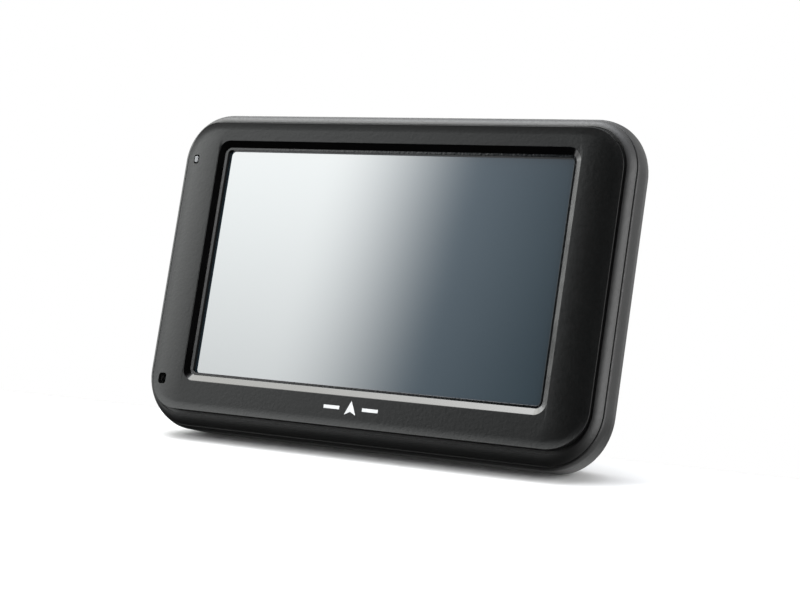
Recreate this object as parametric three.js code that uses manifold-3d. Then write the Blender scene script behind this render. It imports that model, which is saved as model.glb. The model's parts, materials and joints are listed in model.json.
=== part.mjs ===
// Portable car navigator with a 4.3 inch touch screen: front bezel, mid frame and rear cover around a
// screen stack, a main board with its sockets, a battery and a speaker. Millimetres, +Z up.
//
// Every piece is drawn in the unit's own coordinates: x to the right, y as depth behind the front face,
// z as height above the centre of the screen. The unit's group then stands it on its flat underside.
import * as THREE from 'three';
import { mergeVertices } from 'three/addons/utils/BufferGeometryUtils.js';
import Module from 'manifold-3d';

const wasm = await Module();
wasm.setup();

// ---------------------------------------------------------------- driving dimensions
const THICKNESS = 19; // front face to back face
const FOOT = -41.8; // the flat underside, below the centre of the screen
const GAP = 0.3; // clearance between neighbouring pieces
const WALL = 2; // wall of the rear cover
const BACK_WALL = 1.8;

// Outlines of the body: the flat middle of the face, the edge of the face, the body at its widest, and the
// edge of the flat back.
const FLAT = { halfWidth: 51.2, top: 33, bottom: -35.2, topRadius: 4, bottomRadius: 4 };
const FACE = { halfWidth: 61.1, top: 34.9, bottom: -37.6, topRadius: 9.2, bottomRadius: 9.4 };
const WIDEST = { halfWidth: 64, top: 38.1, bottom: -42, topRadius: 12.6, bottomRadius: 14 };
const BACK = { halfWidth: 53, top: 31, bottom: -36, topRadius: 9, bottomRadius: 9 };
const FACE_DROP = 1.35; // how far the face curves back at its left and right ends
const FACE_RIM = 0.15; // radius where the edge of the face turns into the groove
const FACE_DEPTH = 1.65; // where the band round the face starts
const WIDEST_DEPTH = 7;
const PARTING_DEPTH = 3.45; // where the mid frame meets the rear cover

const OPENING = { halfWidth: 50.93, halfHeight: 30.22, radius: 3.2 }; // in the front face
const TRIM_SLOPE = 1.5; // width of the trim's sloping wall
const TRIM_DEPTH = 1; // where that wall ends in a flat rim
const RIM_INSET = 2.15; // the rim's inner edge, measured from the opening: the screen shows inside it
const BEZEL_THICKNESS = 1.7;
const TOUCH_DEPTH = 2; // front of the touch panel
const TOUCH_THICKNESS = 1.1;
const TRAY_DEPTH = 3.4;
const TRAY_BACK = 6.4;
const WEB_DEPTH = 6.7; // the mid frame's plate behind the screen
const WEB_BACK = 7.7;
const BOARD_DEPTH = 8.7;
const BOARD_BACK = 9.7;
const PARTS_DEPTH = BOARD_BACK + GAP; // where the parts on the main board start
const CAVITY_DEPTH = THICKNESS - BACK_WALL;

const CORNER_SCREWS = [[-45, 28.5], [45, 28.5], [45, -31], [-45, -31]];
const BOARD_SCREWS = [[0, 28.4], [16, -32.6]];
const POST_RADIUS = 2.8;
const POST_BACK = 13;
const SCREW_BORE = 1.3;
const HEAD_RADIUS = 2.3;
const HEAD_SEAT = 15.4;

const LIGHT = { x: -58.2, z: 25.5, width: 1.9, height: 2.3 }; // opening of the status light in the face
const MICROPHONE = { x: -57.5, z: -30.3, width: 2.8, height: 2.7 }; // its hole in the face
const CAPSULE_X = -56.3;
const TAB = { x: 58.6, z: [-14, 12], width: 8, thickness: 1.2, back: 5 }; // they hold the face in the frame
const SPEAKER = { x: 33, z: -13, radius: 15 };
const BUTTON = { x: 38, y: 11.6, width: 9, depth: 4, top: 37.3 };
const SWITCH = { x: -37.5, y: 11.6, travel: 3, top: 36.9 };
const CARD = { z: 10, width: 24.4, y: 11.5 };
const JACK = { z: -11, y: 12.5 };
const USB = { z: -22, y: 12 };
const LABEL = { x: -14, z: -16, width: 44, height: 20 };

const CORNER_STEPS = 8;
const FINE = 1; // how far a cutter runs past a surface

// ---------------------------------------------------------------- shapes
const lerp = THREE.MathUtils.lerp;

// The fullness of a rounded side: 1 at the widest line, 0 at its end, along a superellipse.
const bulge = (share, power) => Math.pow(Math.max(0, 1 - Math.pow(share, power)), 1 / power);

function blend(from, to, share) {
  const mixed = {};
  for (const key of Object.keys(from)) mixed[key] = lerp(from[key], to[key], share);
  return mixed;
}

function inset(outline, by) {
  return {
    halfWidth: outline.halfWidth - by,
    top: outline.top - by,
    bottom: outline.bottom + by,
    topRadius: Math.max(0.5, outline.topRadius - by),
    bottomRadius: Math.max(0.5, outline.bottomRadius - by),
  };
}

// The body's outline at a depth, cut flat at the underside.
function sideOutline(depth) {
  const ahead = (WIDEST_DEPTH - depth) / (WIDEST_DEPTH - FACE_DEPTH);
  const behind = (depth - WIDEST_DEPTH) / (THICKNESS - WIDEST_DEPTH);
  const outline =
    depth < WIDEST_DEPTH
      ? blend(FACE, WIDEST, bulge(Math.min(1, ahead), 2.1))
      : blend(BACK, WIDEST, bulge(Math.min(1, behind), 1.5));
  if (depth > WIDEST_DEPTH)
    outline.bottom = lerp(BACK.bottom, WIDEST.bottom, bulge(Math.min(1, behind), 3.5));
  outline.bottom = Math.max(outline.bottom, FOOT);
  return outline;
}

const centred = ({ halfWidth, halfHeight, radius }) => ({
  halfWidth,
  top: halfHeight,
  bottom: -halfHeight,
  topRadius: radius,
  bottomRadius: radius,
});

// A rounded rectangle as a closed shape in x and height, counter-clockwise.
function roundedShape({ halfWidth, top, bottom, topRadius, bottomRadius }) {
  const shape = new THREE.Shape();
  const quarter = Math.PI / 2;
  shape.absarc(halfWidth - bottomRadius, bottom + bottomRadius, bottomRadius, -quarter, 0);
  shape.absarc(halfWidth - topRadius, top - topRadius, topRadius, 0, quarter);
  shape.absarc(-halfWidth + topRadius, top - topRadius, topRadius, quarter, 2 * quarter);
  shape.absarc(-halfWidth + bottomRadius, bottom + bottomRadius, bottomRadius, 2 * quarter, 3 * quarter);
  return shape;
}

// The direction in which a point of a rounded outline looks, from its number: 0 is to the right.
function facing(number) {
  const corner = Math.floor(number / (CORNER_STEPS + 1));
  return (corner - 1 + (number % (CORNER_STEPS + 1)) / CORNER_STEPS) * (Math.PI / 2);
}

// Rounded outlines joined one after the other: [outline, depth] each, where the depth may follow the
// direction that a point looks in. The first and last are capped, or joined to each other where the
// stack closes on itself as a ring.
function loft(sections, closed = false) {
  // A shape gives each of its arcs twice as many steps as it is asked for.
  const rings = sections.map(([outline, depth]) => {
    const depthAt = typeof depth === 'function' ? depth : () => depth;
    return roundedShape(outline)
      .getPoints(CORNER_STEPS / 2)
      .map((p, number) => new THREE.Vector3(p.x, depthAt(facing(number)), p.y));
  });
  const count = rings[0].length;
  const positions = [];
  const index = [];
  for (const ring of rings) for (const p of ring) positions.push(p.x, p.y, p.z);
  const steps = closed ? rings.length : rings.length - 1;
  for (let s = 0; s < steps; s++) {
    const a = s * count;
    const b = ((s + 1) % rings.length) * count;
    for (let i = 0; i < count; i++) {
      const j = (i + 1) % count;
      index.push(a + i, b + j, a + j, a + i, b + i, b + j);
    }
  }
  if (!closed) {
    const last = (rings.length - 1) * count;
    for (let i = 1; i < count - 1; i++) {
      index.push(0, i, i + 1);
      index.push(last, last + i + 1, last + i);
    }
  }
  const geometry = new THREE.BufferGeometry();
  geometry.setAttribute('position', new THREE.Float32BufferAttribute(positions, 3));
  geometry.setIndex(index);
  return solid(geometry);
}

// A closed geometry as a solid that can be joined and cut, whichever way round its triangles are.
function solid(geometry) {
  const bare = geometry.clone();
  for (const name of Object.keys(bare.attributes)) if (name !== 'position') bare.deleteAttribute(name);
  const merged = mergeVertices(bare, 1e-4);
  const vertProperties = new Float32Array(merged.attributes.position.array);
  const triVerts = new Uint32Array(merged.index.array);
  const built = () => new wasm.Manifold(new wasm.Mesh({ numProp: 3, vertProperties, triVerts }));
  const made = built();
  if (made.volume() >= 0) return made;
  for (let i = 0; i < triVerts.length; i += 3)
    [triVerts[i + 1], triVerts[i + 2]] = [triVerts[i + 2], triVerts[i + 1]];
  return built();
}

function geometryOf(made) {
  const { vertProperties, triVerts, numProp } = made.getMesh();
  const positions = [];
  for (let i = 0; i < vertProperties.length; i += numProp)
    positions.push(vertProperties[i], vertProperties[i + 1], vertProperties[i + 2]);
  const geometry = new THREE.BufferGeometry();
  geometry.setAttribute('position', new THREE.Float32BufferAttribute(positions, 3));
  geometry.setIndex([...triVerts]);
  geometry.computeVertexNormals();
  return geometry;
}

const join = (...pieces) => pieces.reduce((whole, piece) => whole.add(piece));
const cut = (whole, ...pieces) => pieces.reduce((rest, piece) => rest.subtract(piece), whole);

function box([x0, x1], [y0, y1], [z0, z1]) {
  const geometry = new THREE.BoxGeometry(x1 - x0, y1 - y0, z1 - z0);
  geometry.translate((x0 + x1) / 2, (y0 + y1) / 2, (z0 + z1) / 2);
  return solid(geometry);
}

// An outline extruded through the depth.
function plate(outline, [y0, y1]) {
  const geometry = new THREE.ExtrudeGeometry(roundedShape(outline), {
    depth: y1 - y0,
    bevelEnabled: false,
    curveSegments: 4,
  });
  geometry.rotateX(Math.PI / 2);
  geometry.translate(0, y1, 0);
  return solid(geometry);
}

const pad = (x, z, width, height, radius, depths) =>
  plate(centred({ halfWidth: width / 2, halfHeight: height / 2, radius }), depths).translate([x, 0, z]);

// A round pin or hole along the depth, or along x.
function rod(x, z, radius, [y0, y1], sides = 24) {
  const geometry = new THREE.CylinderGeometry(radius, radius, y1 - y0, sides);
  geometry.translate(x, (y0 + y1) / 2, z);
  return solid(geometry);
}

function rodAcross(y, z, radius, [x0, x1], sides = 24) {
  const geometry = new THREE.CylinderGeometry(radius, radius, x1 - x0, sides);
  geometry.rotateZ(Math.PI / 2);
  geometry.translate((x0 + x1) / 2, y, z);
  return solid(geometry);
}

// A turned piece about the depth axis: [radius, depth] points, from the axis back to the axis.
function turned(x, z, profile, sides = 24) {
  const geometry = new THREE.LatheGeometry(
    profile.map(([radius, depth]) => new THREE.Vector2(radius, depth)),
    sides,
  );
  geometry.translate(x, 0, z);
  return solid(geometry);
}

// ---------------------------------------------------------------- materials
const looks = {
  shell: { color: 0x3f4142, roughness: 0.55 },
  gloss: { color: 0x0c0c0d, roughness: 0.15 },
  glass: { color: 0x3c4852, roughness: 0.08 },
  panel: { color: 0x1c2126, roughness: 0.2 },
  tin: { color: 0xb9bcc0, roughness: 0.35, metalness: 0.9 },
  steel: { color: 0x8d9094, roughness: 0.35, metalness: 1 },
  board: { color: 0x1d5a36, roughness: 0.5 },
  chip: { color: 0x17181a, roughness: 0.45 },
  ceramic: { color: 0xd9cfb8, roughness: 0.6 },
  cell: { color: 0xc4c8cc, roughness: 0.3, metalness: 0.6 },
  foam: { color: 0x26272a, roughness: 0.95 },
  rubber: { color: 0x1b1b1c, roughness: 0.85 },
  clear: { color: 0xdfe4e6, roughness: 0.2 },
  polyimide: { color: 0xb06a22, roughness: 0.4 },
  socket: { color: 0x202123, roughness: 0.5 },
  cone: { color: 0x2b2b2d, roughness: 0.8 },
  label: { color: 0xa9adb0, roughness: 0.4 },
};

const unit = new THREE.Group();
unit.position.set(0, -THICKNESS / 2, -FOOT);

function piece(name, look, made) {
  const material = new THREE.MeshStandardMaterial({ metalness: 0, ...looks[look] });
  const mesh = new THREE.Mesh(geometryOf(made), material);
  mesh.name = name;
  unit.add(mesh);
}

// ---------------------------------------------------------------- shells
// The face: flat round the screen and curved back towards its left and right ends, with a small rounded
// rim all round.
function frontBezel() {
  const curveSteps = 6;
  const rimSteps = 3;
  const through = [-FINE, BEZEL_THICKNESS + FINE];
  const drop = (share) => (direction) => FACE_DROP * Math.cos(direction) ** 2 * share ** 2;
  const sections = [];
  for (let i = 0; i <= curveSteps; i++) {
    const share = i / curveSteps;
    sections.push([blend(FLAT, inset(FACE, FACE_RIM), share), drop(share)]);
  }
  for (let i = 1; i <= rimSteps; i++) {
    const turn = (i / rimSteps) * (Math.PI / 2);
    const rim = FACE_RIM * (1 - Math.cos(turn));
    sections.push([
      inset(FACE, FACE_RIM * (1 - Math.sin(turn))),
      (direction) => Math.min(drop(1)(direction) + rim, FACE_DEPTH),
    ]);
  }
  sections.push([FACE, BEZEL_THICKNESS]);
  const tabs = [];
  for (const side of [-1, 1])
    for (const z of TAB.z)
      tabs.push(
        box(
          [side * TAB.x - TAB.thickness / 2, side * TAB.x + TAB.thickness / 2],
          [FACE_DROP, TAB.back],
          [z - TAB.width / 2, z + TAB.width / 2],
        ),
      );
  return cut(
    join(loft(sections), ...tabs),
    plate(centred(OPENING), through),
    pad(LIGHT.x, LIGHT.z, LIGHT.width, LIGHT.height, 0.6, through),
    pad(MICROPHONE.x, MICROPHONE.z, MICROPHONE.width, MICROPHONE.height, 0.9, through),
  );
}

// The band round the face, its skirt inside the rear cover and the plate behind the screen.
function midFrame() {
  const skirtOuter = inset(sideOutline(PARTING_DEPTH + GAP), WALL + GAP + 0.05);
  const skirtInner = inset(skirtOuter, 1.2);
  const lip = inset(sideOutline(FACE_DEPTH + 0.05), 0.1);
  const band = loft(
    [
      [lip, FACE_DEPTH + 0.05],
      [sideOutline(FACE_DEPTH + 0.1), FACE_DEPTH + 0.1],
      [sideOutline(2.05), 2.05],
      [sideOutline(2.65), 2.65],
      [sideOutline(PARTING_DEPTH), PARTING_DEPTH],
      [skirtOuter, PARTING_DEPTH],
      [skirtOuter, WEB_BACK],
      [skirtInner, WEB_BACK],
      [skirtInner, BEZEL_THICKNESS + GAP],
      [lip, BEZEL_THICKNESS + GAP],
    ],
    true,
  );
  const web = plate(inset(skirtOuter, 0.6), [WEB_DEPTH, WEB_BACK]);
  const windows = [-26, 26].map((x) => pad(x, 0, 42, 42, 4, [WEB_DEPTH - FINE, WEB_BACK + FINE]));
  const ribbonSlot = box([-13, 13], [WEB_DEPTH - FINE, WEB_BACK + FINE], [-36.8, -34.4]);
  const lightHole = rod(LIGHT.x + 0.6, LIGHT.z, 1.7, [WEB_DEPTH - FINE, WEB_BACK + FINE], 16);
  const posts = CORNER_SCREWS.map(([x, z]) => rod(x, z, POST_RADIUS, [WEB_BACK - 0.5, POST_BACK]));
  const postBores = CORNER_SCREWS.map(([x, z]) => rod(x, z, SCREW_BORE, [WEB_BACK, POST_BACK + FINE], 16));
  const standoffs = BOARD_SCREWS.map(([x, z]) => rod(x, z, 2.2, [WEB_BACK - 0.5, BOARD_DEPTH - GAP], 20));
  const standoffBores = BOARD_SCREWS.map(([x, z]) => rod(x, z, 1.1, [WEB_DEPTH - FINE, BOARD_DEPTH], 16));
  return cut(
    join(band, cut(web, ...windows, ribbonSlot, lightHole), ...posts, ...standoffs),
    ...postBores,
    ...standoffBores,
  );
}

// The rating label, or with a margin the shallow seat for it.
const labelArea = (margin, radius, depths) =>
  pad(LABEL.x, LABEL.z, LABEL.width + 2 * margin, LABEL.height + 2 * margin, radius, depths);

function speakerSlots() {
  const slots = [];
  const reach = 11.5;
  for (let row = -3; row <= 3; row++) {
    const z = row * 3.1;
    const half = Math.sqrt(reach * reach - z * z);
    slots.push(pad(SPEAKER.x, SPEAKER.z + z, 2 * half, 1.3, 0.6, [CAVITY_DEPTH - FINE, THICKNESS + FINE]));
  }
  return slots;
}

// The rear cover: a tray with rounded sides, four screw bosses and its openings.
function rearCover() {
  const roundSteps = 8;
  const start = PARTING_DEPTH + GAP;
  const ahead = [start, 4.7, 5.8];
  const behind = [];
  for (let i = 0; i <= roundSteps; i++)
    behind.push(WIDEST_DEPTH + (THICKNESS - WIDEST_DEPTH) * Math.sin((i / roundSteps) * (Math.PI / 2)));
  const outside = [...ahead, ...behind].map((depth) => [sideOutline(depth), depth]);
  const inside = [...ahead, ...behind]
    .filter((depth) => depth < CAVITY_DEPTH - 0.5)
    .concat(CAVITY_DEPTH)
    .map((depth) => [inset(sideOutline(depth), WALL), depth]);
  const tray = loft([...inside.reverse(), ...outside]);
  const bosses = CORNER_SCREWS.map(([x, z]) => rod(x, z, 3.6, [POST_BACK + GAP, CAVITY_DEPTH + 0.5]));
  const bores = CORNER_SCREWS.flatMap(([x, z]) => [
    rod(x, z, SCREW_BORE, [POST_BACK, THICKNESS + FINE], 16),
    rod(x, z, 2.7, [HEAD_SEAT, THICKNESS + FINE]),
  ]);
  const sideWall = [-66, -57];
  const topWall = [34, 40];
  const openings = [
    box(sideWall, [CARD.y - 1.4, CARD.y + 1.4], [CARD.z - 12.7, CARD.z + 12.7]),
    rodAcross(JACK.y, JACK.z, 3, sideWall),
    box(sideWall, [USB.y - 2.4, USB.y + 2.4], [USB.z - 4.4, USB.z + 4.4]),
    box(
      [BUTTON.x - BUTTON.width / 2 - GAP, BUTTON.x + BUTTON.width / 2 + GAP],
      [BUTTON.y - BUTTON.depth / 2 - GAP, BUTTON.y + BUTTON.depth / 2 + GAP],
      topWall,
    ),
    box([SWITCH.x - 2.5, SWITCH.x + SWITCH.travel + 2.5], [SWITCH.y - 1.3, SWITCH.y + 1.3], topWall),
    box([-22, -14], [CAVITY_DEPTH - FINE, THICKNESS + FINE], [-33.6, -31.2]),
    box([14, 22], [CAVITY_DEPTH - FINE, THICKNESS + FINE], [-33.6, -31.2]),
    box([-6, 6], [CAVITY_DEPTH - FINE, THICKNESS + FINE], [26.4, 28.8]),
    labelArea(GAP, 1.5, [THICKNESS - 0.7, THICKNESS + FINE]),
  ];
  return cut(join(tray, ...bosses), ...bores, ...openings, ...speakerSlots());
}

// ---------------------------------------------------------------- screen
// Glossy frame in the opening of the face: a sloping wall, a flat rim, then an upright step to the screen.
function screenTrim() {
  const ring = (by) => inset(centred(OPENING), by);
  return loft(
    [
      [ring(GAP), 0.2],
      [ring(TRIM_SLOPE), TRIM_DEPTH],
      [ring(RIM_INSET), TRIM_DEPTH + 0.05],
      [ring(RIM_INSET), BEZEL_THICKNESS],
      [ring(GAP), BEZEL_THICKNESS],
    ],
    true,
  );
}

const touchPanel = () =>
  pad(0, 0, 103.6, 62.6, 1.5, [TOUCH_DEPTH, TOUCH_DEPTH + TOUCH_THICKNESS]);

const screenGasket = () =>
  cut(
    pad(0, 0, 106.2, 66, 1, [TOUCH_DEPTH, TRAY_DEPTH - GAP]),
    pad(0, 0, 104.4, 63.4, 1, [TOUCH_DEPTH - FINE, TRAY_DEPTH + FINE]),
  );

const lcdTray = () =>
  cut(
    pad(0, 0, 105.5, 67.2, 0.8, [TRAY_DEPTH, TRAY_BACK]),
    pad(0, 0, 101.4, 61.6, 0.8, [TRAY_DEPTH - FINE, 4.9]),
  );

const lcdPanel = () => pad(0, 0, 100.6, 60.8, 0.8, [TRAY_DEPTH + 0.05, 4.6]);

// The flat cable from the screen, under the plate's lower edge and up in front of the main board.
function lcdRibbon() {
  const thick = 0.12;
  const path = [[5.6, -33.95], [5.6, -35.6], [8.2, -35.6], [8.2, -27]];
  const shape = new THREE.Shape([
    new THREE.Vector2(path[0][0] - thick, path[0][1]),
    new THREE.Vector2(path[1][0] - thick, path[1][1] - thick),
    new THREE.Vector2(path[2][0] + thick, path[2][1] - thick),
    new THREE.Vector2(path[3][0] + thick, path[3][1]),
    new THREE.Vector2(path[3][0] - thick, path[3][1]),
    new THREE.Vector2(path[2][0] - thick, path[2][1] + thick),
    new THREE.Vector2(path[1][0] + thick, path[1][1] + thick),
    new THREE.Vector2(path[0][0] + thick, path[0][1]),
  ]);
  const width = 24;
  const geometry = new THREE.ExtrudeGeometry(shape, { depth: width, bevelEnabled: false });
  // The shape's x is depth and its y is height, so it is turned to run across the unit.
  geometry.applyMatrix4(new THREE.Matrix4().set(0, 0, 1, -width / 2, 1, 0, 0, 0, 0, 1, 0, 0, 0, 0, 0, 1));
  return solid(geometry);
}

// ---------------------------------------------------------------- main board and its parts
function mainBoard() {
  const depths = [BOARD_DEPTH, BOARD_BACK];
  const through = [BOARD_DEPTH - FINE, BOARD_BACK + FINE];
  const blank = plate({ halfWidth: 52.5, top: 31, bottom: -35, topRadius: 2, bottomRadius: 2 }, depths);
  const ear = box([-59, -50], depths, [LIGHT.z - 4, LIGHT.z + 2.5]);
  const notches = CORNER_SCREWS.map(([x, z]) => rod(x, z, POST_RADIUS + GAP, through));
  const holes = BOARD_SCREWS.map(([x, z]) => rod(x, z, 1.1, through, 16));
  return cut(join(blank, ear), ...notches, ...holes);
}

function rfShield() {
  const can = box([-28, -6], [PARTS_DEPTH, 11.2], [5, 26]);
  return cut(can, box([-27.6, -6.4], [PARTS_DEPTH - FINE, 10.8], [5.4, 25.6]));
}

function cardSocket() {
  const body = box([-58.7, -33], [PARTS_DEPTH, 13], [CARD.z - 14, CARD.z + 14]);
  const bay = box(
    [-59.5, -36],
    [CARD.y - 1.05, CARD.y + 1.05],
    [CARD.z - CARD.width / 2, CARD.z + CARD.width / 2],
  );
  return cut(body, bay);
}

function headphoneJack() {
  const body = box([-57, -45], [PARTS_DEPTH, 15], [JACK.z - 3, JACK.z + 3]);
  const nose = rodAcross(JACK.y, JACK.z, 2.5, [-59, -56]);
  return cut(join(body, nose), rodAcross(JACK.y, JACK.z, 1.8, [-60, -47]));
}

function usbSocket() {
  const body = box([-58, -49], [PARTS_DEPTH, 14], [USB.z - 3.9, USB.z + 3.9]);
  const mouth = box([-59, -51], [PARTS_DEPTH + 0.4, 13.6], [USB.z - 3.5, USB.z + 3.5]);
  const tongue = box([-57.4, -50.5], [11.6, 12.4], [USB.z - 2.4, USB.z + 2.4]);
  return join(cut(body, mouth), tongue);
}

// A moving-coil speaker facing the back: frame, cone side and magnet, in one turned outline.
function speaker() {
  const { x, z, radius } = SPEAKER;
  return turned(x, z, [
    [0, 10.6], [8, 10.6], [8, 12.4], [radius - 1, 13.6], [radius, 14.6], [radius, 16],
    [radius - 1.6, 16], [radius - 2.4, 15.2], [5, 14.2], [3.5, 14.8], [0, 15.2],
  ], 32);
}

const speakerGasket = () =>
  cut(
    rod(SPEAKER.x, SPEAKER.z, SPEAKER.radius - 0.2, [16.3, CAVITY_DEPTH - GAP], 32),
    rod(SPEAKER.x, SPEAKER.z, SPEAKER.radius - 2.2, [16, CAVITY_DEPTH], 32),
  );

// ---------------------------------------------------------------- status light and microphone
const lightPipe = () =>
  join(
    pad(LIGHT.x, LIGHT.z, LIGHT.width - 0.8, LIGHT.height - 0.7, 0.4, [0.75, 2.5]),
    pad(LIGHT.x, LIGHT.z, 1.6, 2, 0.5, [2, 7.6]),
  );

const statusLed = () => box([LIGHT.x - 0.8, LIGHT.x + 0.8], [7.9, 8.4], [LIGHT.z - 0.8, LIGHT.z + 0.8]);

const microphoneBoot = () =>
  cut(
    rod(CAPSULE_X, MICROPHONE.z, 2.75, [2, 4.9]),
    rod(CAPSULE_X, MICROPHONE.z, 2.2, [1, 4.4]),
  );

const microphoneCapsule = () => rod(CAPSULE_X, MICROPHONE.z, 1.9, [2.5, 4.1]);

// ---------------------------------------------------------------- button and switch
function powerButton() {
  const { x, y, width, depth, top } = BUTTON;
  const cap = box([x - width / 2, x + width / 2], [y - depth / 2, y + depth / 2], [33, top]);
  const flange = box([x - width / 2 - 1, x + width / 2 + 1], [y - 2.5, y + 1.8], [32.6, 33.4]);
  return join(cap, flange);
}

const switchPlunger = () => box([BUTTON.x - 1.2, BUTTON.x + 1.2], [11, 12.2], [30.6, 32.3]);

function tactSwitch() {
  const body = box([BUTTON.x - 3, BUTTON.x + 3], [PARTS_DEPTH, 13.4], [27, 31.4]);
  return cut(body, box([BUTTON.x - 1.6, BUTTON.x + 1.6], [10.6, 12.6], [29.8, 33]));
}

function switchKnob() {
  const { x, y, top } = SWITCH;
  const knob = box([x - 1.8, x + 1.8], [y - 0.9, y + 0.9], [32.6, top]);
  const shoe = box([x - 2.2, x + 2.2], [y - 1.4, y + 1.4], [32.6, 33.4]);
  return join(knob, shoe);
}

const switchBody = () =>
  box([SWITCH.x - 3, SWITCH.x + SWITCH.travel + 3], [PARTS_DEPTH, 13.2], [28.4, 32.2]);

// ---------------------------------------------------------------- screws
// A pan-head screw along the depth, its head towards the back, with a cross recess.
function screw([x, z], seat, headRadius, headHeight, shankRadius, tip) {
  const blank = turned(x, z, [
    [0, tip], [shankRadius * 0.6, tip], [shankRadius, tip + 0.6], [shankRadius, seat], [headRadius, seat],
    [headRadius, seat + headHeight * 0.6], [headRadius * 0.7, seat + headHeight], [0, seat + headHeight],
  ], 16);
  const deep = [seat + headHeight * 0.4, seat + headHeight + FINE];
  const arm = headRadius * 0.55;
  const half = headRadius * 0.13;
  return cut(
    blank,
    box([x - arm, x + arm], deep, [z - half, z + half]),
    box([x - half, x + half], deep, [z - arm, z + arm]),
  );
}

// ---------------------------------------------------------------- the assembly
piece('front_bezel', 'shell', frontBezel());
piece('mid_frame', 'shell', midFrame());
piece('rear_cover', 'shell', rearCover());
piece('rating_label', 'label', labelArea(0, 1.2, [THICKNESS - 0.35, THICKNESS - 0.1]));
piece('screen_trim', 'gloss', screenTrim());
piece('touch_panel', 'glass', touchPanel());
piece('screen_gasket', 'foam', screenGasket());
piece('lcd_panel', 'panel', lcdPanel());
piece('lcd_tray', 'tin', lcdTray());
piece('lcd_ribbon', 'polyimide', lcdRibbon());
piece('main_board', 'board', mainBoard());
piece('processor', 'chip', box([0, 16], [PARTS_DEPTH, 11.4], [8, 24]));
piece('memory_chip', 'chip', box([19, 30], [PARTS_DEPTH, 11.1], [12, 24]));
piece('flash_chip', 'chip', box([19, 31], [PARTS_DEPTH, 11], [3.6, 9.6]));
piece('power_coil', 'chip', rod(37, 11, 3.2, [PARTS_DEPTH, 12.8]));
piece('rf_shield', 'tin', rfShield());
piece('antenna_board', 'board', box([-30, -4], [11.5, 12.3], [2.6, 28.6]));
piece('antenna_patch', 'ceramic', pad(-17, 15.6, 25, 25, 1, [12.6, 16.6]));
piece('battery', 'cell', pad(-9, -15, 42, 32, 2, [PARTS_DEPTH + 0.4, 15.4]));
piece('battery_pad', 'foam', pad(-9, -15, 34, 24, 1, [15.7, CAVITY_DEPTH - GAP]));
piece('battery_connector', 'socket', box([-37, -31.4], [PARTS_DEPTH, 13], [-24, -18]));
piece('speaker', 'cone', speaker());
piece('speaker_gasket', 'foam', speakerGasket());
piece('headphone_jack', 'socket', headphoneJack());
piece('usb_socket', 'steel', usbSocket());
piece('card_socket', 'tin', cardSocket());
piece('light_pipe', 'clear', lightPipe());
piece('status_led', 'clear', statusLed());
piece('microphone', 'tin', microphoneCapsule());
piece('microphone_boot', 'rubber', microphoneBoot());
piece('power_button', 'gloss', powerButton());
piece('power_plunger', 'chip', switchPlunger());
piece('power_tact_switch', 'socket', tactSwitch());
piece('battery_switch_knob', 'gloss', switchKnob());
piece('battery_switch_body', 'tin', switchBody());
CORNER_SCREWS.forEach((place, i) =>
  piece(`cover_screw_${i + 1}`, 'steel', screw(place, HEAD_SEAT + GAP, HEAD_RADIUS, 1.5, 0.95, 8.2)),
);
BOARD_SCREWS.forEach((place, i) =>
  piece(`board_screw_${i + 1}`, 'steel', screw(place, PARTS_DEPTH, 1.8, 1.1, 0.75, 7)),
);

export default unit;
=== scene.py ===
"""A portable car navigator: fine meshes with procedural materials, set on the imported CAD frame."""

import json
import math

import bmesh
import bpy
from mathutils import Matrix, Vector

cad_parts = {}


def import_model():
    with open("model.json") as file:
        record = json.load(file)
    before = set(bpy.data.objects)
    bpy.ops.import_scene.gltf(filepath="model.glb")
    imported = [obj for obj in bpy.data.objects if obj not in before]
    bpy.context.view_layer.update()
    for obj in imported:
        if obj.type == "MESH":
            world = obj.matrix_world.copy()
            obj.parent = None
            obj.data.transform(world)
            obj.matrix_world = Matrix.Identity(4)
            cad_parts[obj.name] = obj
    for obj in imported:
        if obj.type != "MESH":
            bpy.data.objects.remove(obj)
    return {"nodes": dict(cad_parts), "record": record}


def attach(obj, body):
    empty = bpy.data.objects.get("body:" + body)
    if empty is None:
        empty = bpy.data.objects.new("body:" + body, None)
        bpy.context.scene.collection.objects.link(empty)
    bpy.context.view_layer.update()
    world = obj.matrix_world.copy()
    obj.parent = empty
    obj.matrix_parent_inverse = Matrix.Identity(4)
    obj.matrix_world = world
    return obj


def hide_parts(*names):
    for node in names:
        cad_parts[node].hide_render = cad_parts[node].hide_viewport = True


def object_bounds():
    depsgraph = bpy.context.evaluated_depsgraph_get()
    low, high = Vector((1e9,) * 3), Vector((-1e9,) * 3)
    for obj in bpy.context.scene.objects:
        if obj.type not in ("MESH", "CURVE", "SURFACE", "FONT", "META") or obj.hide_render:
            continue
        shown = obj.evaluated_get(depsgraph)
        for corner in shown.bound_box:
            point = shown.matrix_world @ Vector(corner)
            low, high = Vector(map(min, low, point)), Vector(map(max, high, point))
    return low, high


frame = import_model()
cad_low, cad_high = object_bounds()

MM = 0.001
HOUSING = "housing"

# ---------------------------------------------------------------- driving dimensions, in millimetres
# Depth runs back from the front face and height up from the centre of the screen, as in the CAD.
FRONT_Y = cad_low.y
THICKNESS = (cad_high.y - cad_low.y) / MM
FOOT = -41.8
SCREEN_Z = cad_low.z - FOOT * MM

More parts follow.
